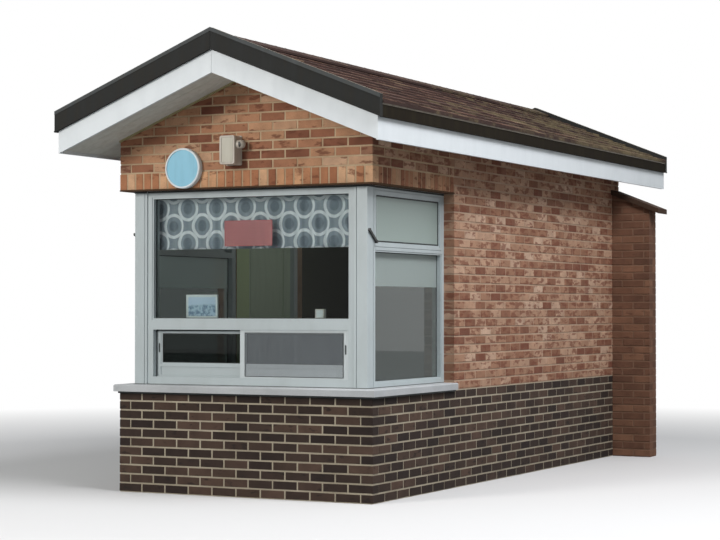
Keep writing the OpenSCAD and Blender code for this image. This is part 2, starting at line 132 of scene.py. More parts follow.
def dress(shader, **sockets):
    for key, value in sockets.items():
        plug(value, shader.inputs[key.replace("_", " ")])


looks = {}


def newMaterial(name, **sockets):
    material = bpy.data.materials.new(name)
    material.use_nodes = True
    bench["tree"] = material.node_tree
    looks[name] = material
    shader = material.node_tree.nodes["Principled BSDF"]
    dress(shader, **sockets)
    return shader


def where():
    return wire("ShaderNodeTexCoord", output="Object")


def tone():
    return wire("ShaderNodeAttribute", output="Fac", attribute_name="tone")


def noise(size, detail=4, stretch=(1, 1, 1), roughness=0.55):
    # size is about the width of one patch, in metres
    spot = wire("ShaderNodeMapping", {"Vector": where(), "Scale": stretch})
    return wire("ShaderNodeTexNoise", {
        "Vector": spot, "Scale": 1 / size, "Detail": detail, "Roughness": roughness})


def ramp(factor, *stops):
    # each stop is its place and an sRGB colour
    node = addNode("ShaderNodeValToRGB", {0: factor})
    elements = node.color_ramp.elements
    while len(elements) < len(stops):
        elements.new(0.5)
    for element, (place, *colour) in zip(elements, stops):
        element.position = place
        element.color = tint(*colour)
    return Wire(node.outputs[0])


def mix(factor, first, second, blend="MIX"):
    return wire("ShaderNodeMix", {0: factor, 6: first, 7: second}, 2, data_type="RGBA", blend_type=blend)


def shaded(colour, share):
    return mix(1.0, colour, joined(share, share, share), "MULTIPLY")


def bump(height, distance, normal=None):
    inputs = {"Height": height, "Distance": distance, "Strength": 1.0}
    if normal is not None:
        inputs["Normal"] = normal
    return wire("ShaderNodeBump", inputs)


sillShade = dict(clear=0.69, full=0.742, share=0.38)


def underSill(colour):
    # painted shadow on the top course under the sill: the colour gets darker towards the sill
    height = parts(where())[2]
    return shaded(colour, spread(height, sillShade["clear"], sillShade["full"], 1.0, sillShade["share"]))


brickLook = dict(patch=0.11, patchShade=(0.8, 1.16), patchDepth=0.002, grit=0.0035, gritShade=(0.88, 1.1),
                 gritDepth=0.0012, smudge=0.06, smudgeLevel=0.62, smudgeSoft=0.08, smudgeDark=0.75,
                 roughness=(0.78, 0.95))


def brickMaterial(name, smudge, smudgeShare, *stops, sillShadow=False):
    shader = newMaterial(name, Specular_IOR_Level=0.25)
    patches, grit = noise(brickLook["patch"], 5), noise(brickLook["grit"], 3)
    smudges = noise(brickLook["smudge"], 3, (0.6, 0.6, 1.6))
    colour = shaded(ramp(tone(), *stops), spread(patches, 0.3, 0.72, *brickLook["patchShade"]))
    level = brickLook["smudgeLevel"] - smudgeShare
    dark = spread(smudges, level, level + brickLook["smudgeSoft"], 0.0, brickLook["smudgeDark"])
    colour = shaded(mix(dark, colour, tint(*smudge)), spread(grit, 0.35, 0.65, *brickLook["gritShade"]))
    # the sill flag adds the painted shadow under the sill
    dress(shader, Base_Color=underSill(colour) if sillShadow else colour,
          Roughness=spread(grit, 0.3, 0.7, *brickLook["roughness"]),
          Normal=bump(patches, brickLook["patchDepth"], bump(grit, brickLook["gritDepth"])))


def earthMaterial(name, dark, pale, patch, grain, depth, roughness=0.9, sillShadow=False):
    # mortar, plaster, concrete and stone: two shades in patches, with a fine grain
    shader = newMaterial(name, Roughness=roughness, Specular_IOR_Level=0.25)
    grains = noise(grain, 3)
    colour = ramp(noise(patch, 6, roughness=0.6), (0.3, *dark), (0.7, *pale))
    colour = shaded(colour, spread(grains, 0.3, 0.7, 0.86, 1.1))
    # the sill flag adds the painted shadow under the sill
    dress(shader, Base_Color=underSill(colour) if sillShadow else colour, Normal=bump(grains, depth))


patchSizes = dict(grime=0.16, skin=0.03, smear=0.25, brushing=0.004)


def paintMaterial(name, colour, dirt, dirtShare, roughness, gloss=0.5, streak=3.0, ripple=0.0006):
    # painted metal, plastic and boards: faint grime that runs down, and a slightly uneven skin
    shader = newMaterial(name, Specular_IOR_Level=gloss)
    grime = noise(patchSizes["grime"], 5, (streak, streak, 0.5), 0.6)
    dress(shader, Base_Color=mix(spread(grime, 0.45, 0.8, 0.0, dirtShare), tint(*colour), tint(*dirt)),
          Roughness=spread(grime, 0.3, 0.8, roughness, roughness + 0.2),
          Normal=bump(noise(patchSizes["skin"], 2), ripple))


def glassMaterial(name, colour, roughness=0.0, ior=1.25, clear=1.0):
    shader = newMaterial(name, Base_Color=tint(*colour), Transmission_Weight=clear, IOR=ior)
    dress(shader, Roughness=spread(noise(patchSizes["smear"]), 0.4, 0.8, roughness, roughness + 0.02))


def steelMaterial(name, colour, roughness):
    shader = newMaterial(name, Base_Color=tint(*colour), Metallic=1.0)
    brushed = noise(patchSizes["brushing"], 3, (1, 12, 12))
    dress(shader, Roughness=spread(brushed, 0.3, 0.7, roughness, roughness + 0.18),
          Normal=bump(brushed, 0.0002))


# Bricks: the colour and share of their smudges, then their tones
brickMaterial(
    "brick_orange", (104, 62, 46), 0.05, (0.0, 108, 66, 50), (0.12, 138, 90, 68), (0.5, 164, 116, 88),
    (0.8, 182, 138, 106), (1.0, 194, 160, 132))
brickMaterial(
    "brick_on_edge", (118, 72, 52), 0.04, (0.0, 128, 80, 58), (0.15, 160, 106, 76), (0.5, 186, 134, 98),
    (0.8, 204, 158, 120), (1.0, 212, 176, 144))
# side walls: a cooler, less saturated copy of the orange brick, painted shade for the cool shade on the sides
brickMaterial(
    "brick_pink", (114, 68, 52), 0.12, (0.0, 118, 76, 60), (0.2, 144, 104, 82), (0.55, 166, 130, 106),
    (0.85, 180, 146, 122), (1.0, 190, 160, 138))
darkBrick = ((34, 28, 26), 0.02, (0.0, 40, 31, 28), (0.5, 56, 44, 38), (1.0, 82, 64, 54))
brickMaterial("brick_dark", *darkBrick)
# the same dark brick, with the painted shadow under the sill
brickMaterial("brick_under_sill", *darkBrick, sillShadow=True)
brickMaterial(
    "brick_wing", (84, 56, 44), 0.0, (0.0, 92, 64, 50), (0.6, 106, 74, 57), (1.0, 122, 88, 68))

# Mortar, plaster, concrete and stone: dark and pale shade, size of patches and grain, depth
mortarLook = dict(patch=0.3, grain=0.004, depth=0.0015)
creamShades = ((150, 140, 122), (182, 172, 152))
earthMaterial("mortar_sand", (160, 134, 106), (196, 172, 142), **mortarLook)
# side walls: a cooler copy of the sand mortar, painted shade for the cool shade on the sides
earthMaterial("mortar_pink_painted_shade", (156, 130, 110), (184, 158, 136), **mortarLook)
earthMaterial("mortar_cream", *creamShades, **mortarLook)
# the same cream mortar, with the painted shadow under the sill
earthMaterial("mortar_under_sill", *creamShades, **mortarLook, sillShadow=True)
earthMaterial("mortar_brown", (104, 78, 62), (122, 94, 76), **mortarLook)
earthMaterial("plaster_olive", (176, 192, 150), (190, 204, 164), 0.9, 0.006, 0.0006)
# a much darker copy of the olive plaster: painted shade for the deep part of the room
earthMaterial("plaster_painted_shade", (58, 60, 50), (70, 72, 60), 0.9, 0.006, 0.0006)
earthMaterial("concrete_floor", (118, 114, 108), (150, 146, 138), 0.5, 0.005, 0.001)
earthMaterial("deck_concrete", (128, 122, 114), (154, 148, 138), 0.6, 0.006, 0.001)
earthMaterial("stone_sill", (164, 167, 169), (186, 189, 191), 0.4, 0.005, 0.0008, roughness=0.6)

# Paint, plastic and rubber: colour, grime and its share, roughness; then gloss, streaks and ripple
for name, *look in (
        ("frame_paint", (176, 186, 188), (140, 144, 142), 0.2, 0.35, 0.5, 1.2, 0.0004),
        # a lighter copy of frame_paint for the outer sash: painted light, as it stands further out than the
        # shaded inner sash
        ("sash_paint", (192, 200, 202), (150, 154, 152), 0.2, 0.35, 0.5, 1.2, 0.0004),
        ("board_paint", (212, 218, 221), (172, 177, 180), 0.16, 0.45, 0.5, 1.3),
        ("soffit_paint", (200, 202, 194), (160, 158, 146), 0.5, 0.6),
        ("bead_paint", (150, 140, 100), (112, 104, 78), 0.4, 0.5),
        ("trim_paint", (38, 39, 38), (54, 50, 44), 0.5, 0.6, 0.12),
        ("eave_paint", (34, 30, 25), (58, 54, 42), 0.5, 0.7, 0.03),
        ("flashing_paint", (58, 62, 63), (78, 75, 68), 0.5, 0.5, 0.2),
        ("edge_metal", (150, 140, 126), (100, 92, 82), 0.6, 0.5),
        ("angle_paint", (84, 64, 50), (60, 44, 34), 0.6, 0.7, 0.05),
        ("cap_paint", (62, 46, 36), (46, 34, 26), 0.5, 0.7, 0.15),
        ("door_paint", (178, 192, 172), (146, 156, 138), 0.3, 0.4),
        ("lamp_case", (186, 178, 166), (142, 132, 118), 0.5, 0.4),
        ("lamp_lens", (196, 192, 178), (168, 160, 142), 0.5, 0.25),
        ("eye_dark", (46, 44, 42), (60, 56, 52), 0.3, 0.3),
        ("white_plastic", (206, 204, 196), (170, 162, 148), 0.4, 0.35),
        ("rim_white", (216, 224, 226), (184, 190, 190), 0.3, 0.35),
        ("blue_plastic", (126, 188, 212), (108, 164, 186), 0.5, 0.3),
        ("red_plastic", (196, 84, 88), (164, 72, 76), 0.5, 0.3),
        ("plate_red", (180, 101, 104), (158, 88, 92), 0.5, 0.3),
        ("screen_wire", (150, 157, 162), (118, 122, 126), 0.4, 0.6, 0.5, 3.0, 0.0001),
        ("rubber", (44, 48, 48), (64, 66, 64), 0.4, 0.6),
        ("sealant", (96, 100, 100), (70, 72, 68), 0.5, 0.6)):
    paintMaterial(name, *look)

glassMaterial("clear_glass", (238, 244, 242), ior=1.2)
glassMaterial("tinted_glass", (124, 136, 132))
glassMaterial("screen_glass", (112, 118, 120), 0.05, clear=0.7)
glassMaterial("frosted_glass", (176, 192, 186), 0.4, 1.4, 0.35)
steelMaterial("brushed_steel", (188, 190, 190), 0.3)
steelMaterial("dark_steel", (84, 84, 84), 0.45)

filmLook = dict(edge=1.536, soft=0.002, roughness=(0.02, 0.45), clear=(0.68, 0.5))


def filmedMaterial(edge, soft, roughness, clear):
    # side panes: tinted glass with a frosted film over its upper part
    shader = newMaterial("filmed_glass", IOR=1.25)
    film = spread(parts(where())[2], edge - soft, edge, 0.0, 1.0)
    dress(shader, Base_Color=mix(film, tint(144, 150, 147), tint(188, 200, 197)),
          Roughness=spread(film, 0.0, 1.0, *roughness), Transmission_Weight=spread(film, 0.0, 1.0, *clear))


filmedMaterial(**filmLook)

shingleLook = dict(granule=0.0025, granuleShade=(0.7, 1.35), granuleDepth=0.0015, patch=0.5,
                   patchShade=(0.78, 1.2), growth=0.35, growthShare=0.75,
                   growthBack=(-2.0, 3.0, -0.12, 0.1), growthUp=(2.8, 3.3, 0.06, -0.06))


def shingleMaterial(granule, granuleShade, granuleDepth, patch, patchShade, growth, growthShare, growthBack,
                    growthUp):
    # asphalt shingles: red-brown granules, with olive growth in patches
    shader = newMaterial("shingle_granules", Roughness=0.92, Specular_IOR_Level=0.2)
    granules = noise(granule, 2)
    colour = ramp(tone(), (0.0, 54, 39, 35), (0.3, 72, 52, 47), (0.65, 86, 62, 55), (0.88, 100, 76, 65),
                  (1.0, 124, 104, 84))
    # there is more growth towards the rear and the eaves
    _, along, height = parts(where())
    grown = noise(growth, 5, roughness=0.7) + (spread(along, *growthBack) + spread(height, *growthUp))
    colour = mix(spread(grown, 0.48, 0.64, 0.0, growthShare), colour, tint(112, 101, 76))
    colour = shaded(colour, spread(noise(patch, 5, (0.9, 1, 0.9), 0.65), 0.35, 0.7, *patchShade))
    colour = shaded(colour, spread(granules, 0.35, 0.65, *granuleShade))
    dress(shader, Base_Color=colour, Normal=bump(granules, granuleDepth))


shingleMaterial(**shingleLook)
print("materials made")


# Mesh helpers

def meshObject(name, bm, *finishes):
    mesh = bpy.data.meshes.new(name)
    bm.to_mesh(mesh)
    bm.free()
    for finish in finishes:
        mesh.materials.append(looks[finish])
    piece = bpy.data.objects.new(name, mesh)
    bpy.context.scene.collection.objects.link(piece)
    return piece


def ride(piece, slot, *nodes):
    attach(piece, "root")
    if nodes:
        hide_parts(*nodes)


def trim(name, bm, slot, *finishes):
    # a piece of the scene's own, its faces turned outwards
    bmesh.ops.recalc_face_normals(bm, faces=bm.faces)
    ride(meshObject(name, bm, *finishes), slot)


def settle(piece):
    # the evaluated shape becomes the piece's own plain mesh
    graph = bpy.context.evaluated_depsgraph_get()
    made = bpy.data.meshes.new_from_object(piece.evaluated_get(graph), depsgraph=graph)
    piece.modifiers.clear()
    piece.data = made
    made.name = piece.name


def addBlock(bm, low, high, index=0):
    made = bmesh.ops.create_cube(bm, size=1.0)["verts"]
    for vertex in made:
        for axis in range(3):
            vertex.co[axis] = high[axis] if vertex.co[axis] > 0 else low[axis]
    for face in {face for vertex in made for face in vertex.link_faces}:
        face.material_index = index


def addPair(bm, low, high, index=0):
    # the same block on the right and on the left of the booth
    for sign in (1, -1):
        x = sorted((sign * low[0], sign * high[0]))
        addBlock(bm, (x[0], *low[1:]), (x[1], *high[1:]), index)


def addRing(bm, axis, low, high, start, end, width):
    # a mitred rectangular ring in the plane across the axis, between two depths along it
    a, b = [i for i in range(3) if i != axis]

    def spot(inset, depth, right, top):
        co = [depth] * 3
        co[a] = high[a] - inset if right else low[a] + inset
        co[b] = high[b] - inset if top else low[b] + inset
        return bm.verts.new(co)

    turns = [(0, 0), (1, 0), (1, 1), (0, 1)]
    loops = [[spot(inset, depth, *turn) for turn in turns]
             for inset, depth in ((0, start), (width, start), (width, end), (0, end))]
    for i in range(4):
        for j in range(4):
            bm.faces.new([loops[i][j], loops[i][(j + 1) % 4],
                          loops[(i + 1) % 4][(j + 1) % 4], loops[(i + 1) % 4][j]])


# Helpers for Geometry Nodes

def newTree(name, **kinds):
    # each kind of input comes with the names of its sockets
    tree = bpy.data.node_groups.new(name, "GeometryNodeTree")
    bench["tree"] = tree
    for kind, names in dict(Geometry="geometry", **kinds).items():
        for title in names.split():
            tree.interface.new_socket(name=title, in_out="INPUT", socket_type="NodeSocket" + kind)
    tree.interface.new_socket(name="geometry", in_out="OUTPUT", socket_type="NodeSocketGeometry")
    outputs = addNode("NodeGroupInput").outputs
    return tree, SimpleNamespace(**{output.name: Wire(output) for output in outputs if output.name})


def addTree(piece, tree, **values):
    modifier = piece.modifiers.new(tree.name, "NODES")
    modifier.node_group = tree
    for item in tree.interface.items_tree:
        if item.in_out == "INPUT" and item.name in values:
            modifier[item.identifier] = values[item.name]


def grow(name, slot, tree, **values):
    # a piece that a tree makes out of nothing
    piece = meshObject(name, bmesh.new())
    addTree(piece, tree, **values)
    settle(piece)
    ride(piece, slot)
    print(name, len(piece.data.polygons), "faces")


def chance(seed, low, high):
    # a random number for each point
    node = addNode("FunctionNodeRandomValue", {"Seed": seed}, data_type="FLOAT")
    node.inputs[2].default_value, node.inputs[3].default_value = low, high
    return Wire(node.outputs[1])


def cube(x=2, y=2, z=2, **more):
    return wire("GeometryNodeMeshCube", {"Vertices X": x, "Vertices Y": y, "Vertices Z": z, **more})


def place():
    return parts(wire("GeometryNodeInputPosition"))


def moved(geometry, position):
    return wire("GeometryNodeSetPosition", {"Geometry": geometry, "Position": position})


def instances(points, instance, **more):
    return wire("GeometryNodeInstanceOnPoints", {"Points": points, "Instance": instance, **more})


def toned(geometry, seed):
    # each instance carries its own tone to the material
    return wire("GeometryNodeStoreNamedAttribute", {
        "Geometry": geometry, "Name": "tone", "Value": chance(seed, 0.0, 1.0)},
        data_type="FLOAT", domain="INSTANCE")


def realized(geometry):
    return wire("GeometryNodeRealizeInstances", {"Geometry": geometry})


def painted(geometry, material):
    return wire("GeometryNodeSetMaterial", {"Geometry": geometry, "Material": material})


def together(*geometries):
    both = addNode("GeometryNodeJoinGeometry")
    for geometry in geometries:
        plug(geometry, both.inputs[0])
    return Wire(both.outputs[0])


# Brickwork: one tree lays any panel of bricks on a wall's grid, cut to openings and to the roof line

brickTrim = dict(standOut=0.01, shortest=0.03, scatter=0.0022, tilt=0.006, roll=0.004)


def brickTree():
    tree, given = newTree(
        "brickwork", Vector="start", Int="firstRow rows seed", Material="brick",
        Float="turn length units stagger spanFrom spanTo cutFrom cutTo cornerStart cornerEnd bottom course "
              "joint header chamfer peak peakAt pitch")

    def blend(first, second, share):
        return first + (second - first) * share

    module = (given.length + given.joint) / given.units
    brickLong = module - given.joint
    brickHigh = given.course - given.joint
    columns = calc("CEIL", given.units) + 2
    points = wire("GeometryNodePoints", {"Count": columns * given.rows})
    index = wire("GeometryNodeInputIndex")
    row = calc("FLOOR", (index + 0.5) / columns) + given.firstRow
    column = index % columns - 1
    odd = row % 2
    left = (column + odd * given.stagger) * module
    right = left + brickLong
    low = given.bottom + row * given.course

    # at a corner every other brick gives way to the next wall's; a straight end may stand out a little
    standOut = brickTrim["standOut"]
    inset = module * 0.5
    lowest = (odd * inset + standOut) * given.cornerStart - standOut
    highest = given.length + standOut - ((1 - odd) * inset + standOut) * given.cornerEnd
    lowest = calc("MAXIMUM", given.cutFrom, lowest)
    highest = calc("MINIMUM", given.cutTo, highest)
    reach = (given.peak - low - given.joint) / calc("MAXIMUM", given.pitch, 0.0001)
    lowest = calc("MAXIMUM", lowest, given.peakAt - reach)
    highest = calc("MINIMUM", highest, given.peakAt + reach)

    # a piece too short to lay is left out, and the next brick fills its place
    sliver = given.joint + brickTrim["shortest"]
    leftEnd = blend(left, lowest, left < lowest + sliver)
    rightEnd = blend(right, highest, right > highest - sliver)
    size = rightEnd - leftEnd
    middle = (leftEnd + rightEnd) * 0.5
    kept = (size > brickTrim["shortest"]) * (middle > given.spanFrom) * (middle < given.spanTo)

    tilt, roll = brickTrim["tilt"], brickTrim["roll"]
    depth = given.header * 0.5 + chance(given.seed + 1, 0.0, brickTrim["scatter"])
    placed = moved(points, joined(middle, depth, low + given.course * 0.5))
    turns = joined(chance(given.seed + 2, -roll, roll), chance(given.seed + 3, -tilt, tilt),
                   chance(given.seed + 4, -tilt, tilt))

    # the unit brick, with a chamfer round its outer face
    x, y, z = place()

    def toEdge(value, length):
        inner = abs(value) < 0.4
        out = calc("SIGN", value) * (0.5 - given.chamfer / length)
        return inner * out + (1 - inner) * value

    rim = calc("MAXIMUM", abs(x), abs(z)) > 0.45
    back = rim * (y < 0) * (given.chamfer / given.header)
    brick = moved(cube(4, 2, 4), joined(toEdge(x, brickLong), y + back, toEdge(z, brickHigh)))
    laid = instances(placed, brick, Selection=kept, Rotation=turns,
                     Scale=joined(size, given.header, brickHigh))
    solid = realized(toned(laid, given.seed + 5))

    # bricks under the roof are cut along it
    x, y, z = place()
    line = given.peak - given.pitch * abs(x - given.peakAt)
    cut = moved(solid, joined(x, y, calc("MINIMUM", z, line)))
    turned = wire("GeometryNodeTransform", {
        "Geometry": cut, "Translation": given.start, "Rotation": joined(0.0, 0.0, given.turn)})
    addNode("NodeGroupOutput", {0: together(given.geometry, painted(turned, given.brick))})
    return tree


bond = dict(coursesToLintelTop=36, joint=0.0125, header=0.09, recess=0.0045, chamfer=0.0025,
            frontUnits=10.5, sideUnits=25.5, besideUnits=18.5, edgePitch=0.0705, reveal=0.0015,
            roofGap=0.002, seed=11)
course = lintelTop / bond["coursesToLintelTop"]
joint = bond["joint"]
lowRows = round(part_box("front_low_wall")[1].z / course)
headRow = bond["coursesToLintelTop"]
doorRow = math.ceil(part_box("left_wall_head")[0].z / course - 0.1)
sideRows = math.ceil(wallTop / course)
gableRows = math.ceil(gableTop / course)
farOff = 50.0
brickwork = brickTree()

# Each wall is laid counter-clockwise from its start corner: start, turn, length, bricks in a row
runs = dict(
    front=((-halfWidth, frontFace), 0, 2 * halfWidth, bond["frontUnits"]),
    right=((halfWidth, frontFace), 90, wallLength, bond["sideUnits"]),
    rear=((halfWidth, rearFace), 180, 2 * halfWidth, bond["frontUnits"]),
    left=((-halfWidth, rearFace), 270, wallLength, bond["sideUnits"]),
    rightBeside=((halfWidth, bayEnd), 90, rearFace - bayEnd, bond["besideUnits"]),
    leftBeside=((-halfWidth, rearFace), 270, rearFace - bayEnd, bond["besideUnits"]))


def panel(run, rows, span, brick, seed, cut=(-farOff, farOff), **more):
    # bricks of some rows over a span of a wall, sawn off at the cut
    (x, y), turn, length, units = runs[run] if isinstance(run, str) else run
    values = dict(
        start=(x, y, 0.0), turn=math.radians(turn), length=length, units=units, stagger=0.5, bottom=0.0,
        spanFrom=span[0] - near, spanTo=span[1] + near, cutFrom=cut[0] - bond["reveal"],
        cutTo=cut[1] + bond["reveal"], cornerStart=1.0, cornerEnd=1.0, firstRow=rows[0],
        rows=rows[1] - rows[0], course=course, joint=joint, header=bond["header"], chamfer=bond["chamfer"],
        peak=farOff, peakAt=length / 2, pitch=0.0, seed=bond["seed"] + seed, brick=looks[brick])
    values.update(more)
    return values


lintelLook = dict(plate=0.0015, angle=0.009, stand=0.002, back=0.078)


def rowlocks(run, span, brick, seed, cornerJoint=0.0):
    # a course of bricks on edge over the windows, on the toe of a steel angle
    start, turn = runs[run][:2]
    across = Vector((math.cos(math.radians(turn)), math.sin(math.radians(turn))))
    corner = Vector(start) + across * (span[0] + cornerJoint)
    length = span[1] - span[0] - cornerJoint
    units = round((length + joint) / bond["edgePitch"])
    bottom = lintelBottom + lintelLook["angle"] - joint / 2
    return panel((corner, turn, length, units), (0, 1), (0, length), brick, seed, (0, length), stagger=0.0,
                 cornerStart=0.0, cornerEnd=0.0, bottom=bottom, course=(headRow - 1) * course - bottom)


def mortarCore(node, mortar):
    # the CAD wall, with its brick faces set back for the joints and its room side plastered
    bm = bmesh.new()
    bm.from_mesh(cadNodes[node].data)
    bmesh.ops.remove_doubles(bm, verts=bm.verts, dist=1e-5)
    bmesh.ops.dissolve_limit(bm, angle_limit=0.01, verts=bm.verts, edges=bm.edges)
    lowTop = lowRows * course
    twoMortars = mortar == "mortar_pink_painted_shade"
    if twoMortars:
        # the lower courses have their own mortar
        bmesh.ops.bisect_plane(bm, geom=bm.verts[:] + bm.edges[:] + bm.faces[:],
                               plane_co=(0, 0, lowTop), plane_no=(0, 0, 1))
    for face in bm.faces:
        centre = face.calc_center_median()
        indoors = abs(centre.x) < innerHalf + near and innerFront - near < centre.y < innerRear + near
        below = twoMortars and centre.z < lowTop
        face.material_index = 1 if indoors and abs(face.normal.z) < 0.5 else 2 if below else 0
    wing = node == "wing_walls"
    for vertex in bm.verts:
        if abs(abs(vertex.co.x) - halfWidth) < near and not wing:
            vertex.co.x -= math.copysign(bond["recess"], vertex.co.x)
        if abs(vertex.co.y - (innerRear if wing else frontFace)) < near:
            vertex.co.y += bond["recess"]
        if abs(vertex.co.y - rearFace) < near:
            vertex.co.y -= bond["recess"]
    # only the wall beside the window keeps the olive plaster; the other walls get the painted shade of the
    # deep room
    plaster = "plaster_olive" if node == "left_wall_front" else "plaster_painted_shade"
    return meshObject(node + "_brickwork", bm, mortar, plaster, "mortar_cream")


def masonry(node, slot, mortar, *panels):
    piece = mortarCore(node, mortar)
    for values in panels:
        addTree(piece, brickwork, **values)
    settle(piece)
    ride(piece, slot, node)
    print("laid", node, len(piece.data.polygons), "faces")


# Spans along the walls, and bands of rows
leftBay = wallLength - bayRun
doorNear, doorFar = [rearFace - corner.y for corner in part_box("left_wall_head")]
whole, rightBay, pastBay = (0, 2 * halfWidth), (0, bayRun), (bayRun, wallLength)
bayOnLeft, doorBack = (leftBay, wallLength), (0, doorFar)
doorWidth, doorToBay = (doorFar, doorNear), (doorNear, leftBay)
lowBand, besideBand, lintelBand = (0, lowRows), (lowRows, headRow), (headRow - 1, headRow)
eaveBand, doorHead, gableBand = (headRow, sideRows), (doorRow, sideRows), (headRow, gableRows)
gablePeak = dict(peak=gableTop - bond["roofGap"], pitch=roofPitch)
sidePeak = dict(peak=wallTop - bond["roofGap"])

masonry("front_low_wall", "brick_dark", "mortar_under_sill",
        panel("front", lowBand, whole, "brick_under_sill", 0))
masonry("side_low_walls", "brick_dark", "mortar_under_sill",
        panel("right", lowBand, rightBay, "brick_under_sill", 1),
        panel("left", lowBand, bayOnLeft, "brick_under_sill", 2))
# the side and rear walls take the brick and mortar copies with painted cool shade
masonry("right_wall", "brick_pink", "mortar_pink_painted_shade",
        panel("right", lowBand, pastBay, "brick_dark", 3),
        panel("rightBeside", besideBand, (0, leftBay), "brick_pink", 4, (0, farOff), cornerStart=0.0),
        panel("right", eaveBand, pastBay, "brick_pink", 5, **sidePeak))
masonry("left_wall_rear", "brick_pink", "mortar_pink_painted_shade",
        panel("left", lowBand, doorBack, "brick_dark", 6, (-farOff, doorFar)),
        panel("leftBeside", (lowRows, doorRow), doorBack, "brick_pink", 7, (-farOff, doorFar)),
        panel("left", doorHead, doorBack, "brick_pink", 8, **sidePeak))
masonry("left_wall_head", "brick_pink", "mortar_pink_painted_shade",
        panel("left", doorHead, doorWidth, "brick_pink", 9, **sidePeak))
masonry("left_wall_front", "brick_pink", "mortar_pink_painted_shade",
        panel("left", lowBand, doorToBay, "brick_dark", 10, (doorNear, farOff)),
        panel("leftBeside", besideBand, doorToBay, "brick_pink", 11, doorToBay, cornerEnd=0.0),
        panel("left", eaveBand, doorToBay, "brick_pink", 13, **sidePeak))
masonry("rear_wall", "brick_pink", "mortar_pink_painted_shade",
        panel("rear", lowBand, whole, "brick_dark", 14),
        panel("rear", (lowRows, gableRows), whole, "brick_pink", 15, **gablePeak))
masonry("gable_wall", "brick_orange", "mortar_sand",
        panel("front", gableBand, whole, "brick_orange", 16, **gablePeak))
masonry("front_lintel", "brick_orange", "mortar_sand",
        rowlocks("front", whole, "brick_on_edge", 17),
        panel("front", lintelBand, whole, "brick_orange", 26))
masonry("side_lintels", "brick_orange", "mortar_sand",
        rowlocks("right", (0, bayRun - joint), "brick_orange", 18, bond["header"] + joint),
        rowlocks("left", (leftBay + joint, wallLength - bond["header"] - joint), "brick_orange", 19),
        panel("right", lintelBand, rightBay, "brick_pink", 27, (-farOff, bayRun - joint)),
        panel("left", lintelBand, bayOnLeft, "brick_pink", 28, (leftBay + joint, farOff)),
        panel("right", eaveBand, rightBay, "brick_pink", 20, **sidePeak),
        panel("left", eaveBand, bayOnLeft, "brick_pink", 21, **sidePeak))

wingLow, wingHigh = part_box("wing_walls")
wingReach = wingHigh.x - halfWidth
wingUnits = wingReach * bond["frontUnits"] / (2 * halfWidth)


def wingPanel(x, y, turn, peakAt, seed):
    run = ((x, y), turn, wingReach, wingUnits)
    return panel(run, (0, headRow), (0, wingReach), "brick_wing", seed, (0, wingReach), peakAt=peakAt,
                 peak=wingHigh.z - bond["roofGap"], pitch=roofPitch, cornerStart=0.0, cornerEnd=0.0)


masonry("wing_walls", "brick_dark", "mortar_brown",
        wingPanel(halfWidth, wingLow.y, 0, 0.0, 22),
        wingPanel(wingHigh.x, wingHigh.y, 180, wingReach, 23),
        wingPanel(-wingHigh.x, wingLow.y, 0, wingReach, 24),
        wingPanel(-halfWidth, wingHigh.y, 180, 0.0, 25))


# Roof: laminated tabs on each lapped course

tabLook = dict(courses=10, tab=0.17, thickness=0.006, lift=0.008, butt=0.014)
tabScatter = dict(rowShift=0.37, shift=(0.35, 0.85), width=(0.35, 1.05), turn=0.012, depth=(0.95, 1.0),
                  shortest=0.02, seat=0.45)


def tabTree():
    tree, given = newTree("shingleTabs", Int="courses seed", Material="finish",
                          Float="side spanFrom spanTo run top pitch lift butt tab thickness")
    perRow = calc("CEIL", (given.spanTo - given.spanFrom) / given.tab) + 1
    points = wire("GeometryNodePoints", {"Count": perRow * given.courses})
    index = wire("GeometryNodeInputIndex")
    row = calc("FLOOR", (index + 0.5) / perRow)
    shifted = index % perRow + row * tabScatter["rowShift"] % 1
    left = given.spanFrom + (shifted - chance(given.seed + 1, *tabScatter["shift"])) * given.tab
    right = left + given.tab * chance(given.seed + 2, *tabScatter["width"])
    start = calc("MAXIMUM", left, given.spanFrom)
    end = calc("MINIMUM", right, given.spanTo)
    size = end - start
    # the course's own slope, flatter than the roof's by the thickness of its butt
    angle = calc("ARCTANGENT", given.pitch - given.butt / given.run)
    out = (row + 0.5) * given.run
    height = given.top - out * given.pitch + given.lift + given.butt * 0.5
    height = height + given.thickness * tabScatter["seat"]
    placed = moved(points, joined(out * given.side, (start + end) * 0.5, height))
    slant = given.run / calc("COSINE", angle)
    turn = chance(given.seed + 3, -tabScatter["turn"], tabScatter["turn"])
    laid = instances(
        placed, cube(), Selection=size > tabScatter["shortest"],
        Rotation=joined(0.0, angle * given.side, turn),
        Scale=joined(slant * chance(given.seed + 4, *tabScatter["depth"]), size, given.thickness))
    addNode("NodeGroupOutput", {0: painted(realized(toned(laid, given.seed + 5)), given.finish)})
    return tree


roofLow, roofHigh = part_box("shingles_right")
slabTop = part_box("roof_slab_right")[1].z
shingleTabs = tabTree()
for side, sign, seed in (("right", 1.0, 42), ("left", -1.0, 40)):
    grow("shingle_tabs_" + side, "shingle", shingleTabs, side=sign, spanFrom=roofLow.y, spanTo=roofHigh.y,
         run=roofHigh.x / tabLook["courses"], top=slabTop, pitch=roofPitch, seed=seed,
         finish=looks["shingle_granules"], **tabLook)


# Curtain: a printed valance gathered on its rod

curtainLook = dict(waves=26, depth=0.006, drift=((1.3, 9), (0.7, 23)), stiffest=0.12, freeFrom=0.2,
                   columns=416, rows=14, cutRow=4, thickness=0.0008, pocket=0.0105, pocketTurn=1.25,
                   pocketSteps=12)
printLook = dict(ringPitch=0.268, rowPitch=0.13, hemToRow=0.047, ringStart=0.019, ringRadius=0.083,
                 line=0.0145, lineCore=0.6, disc=0.046, discSoft=0.008, weave=0.002)


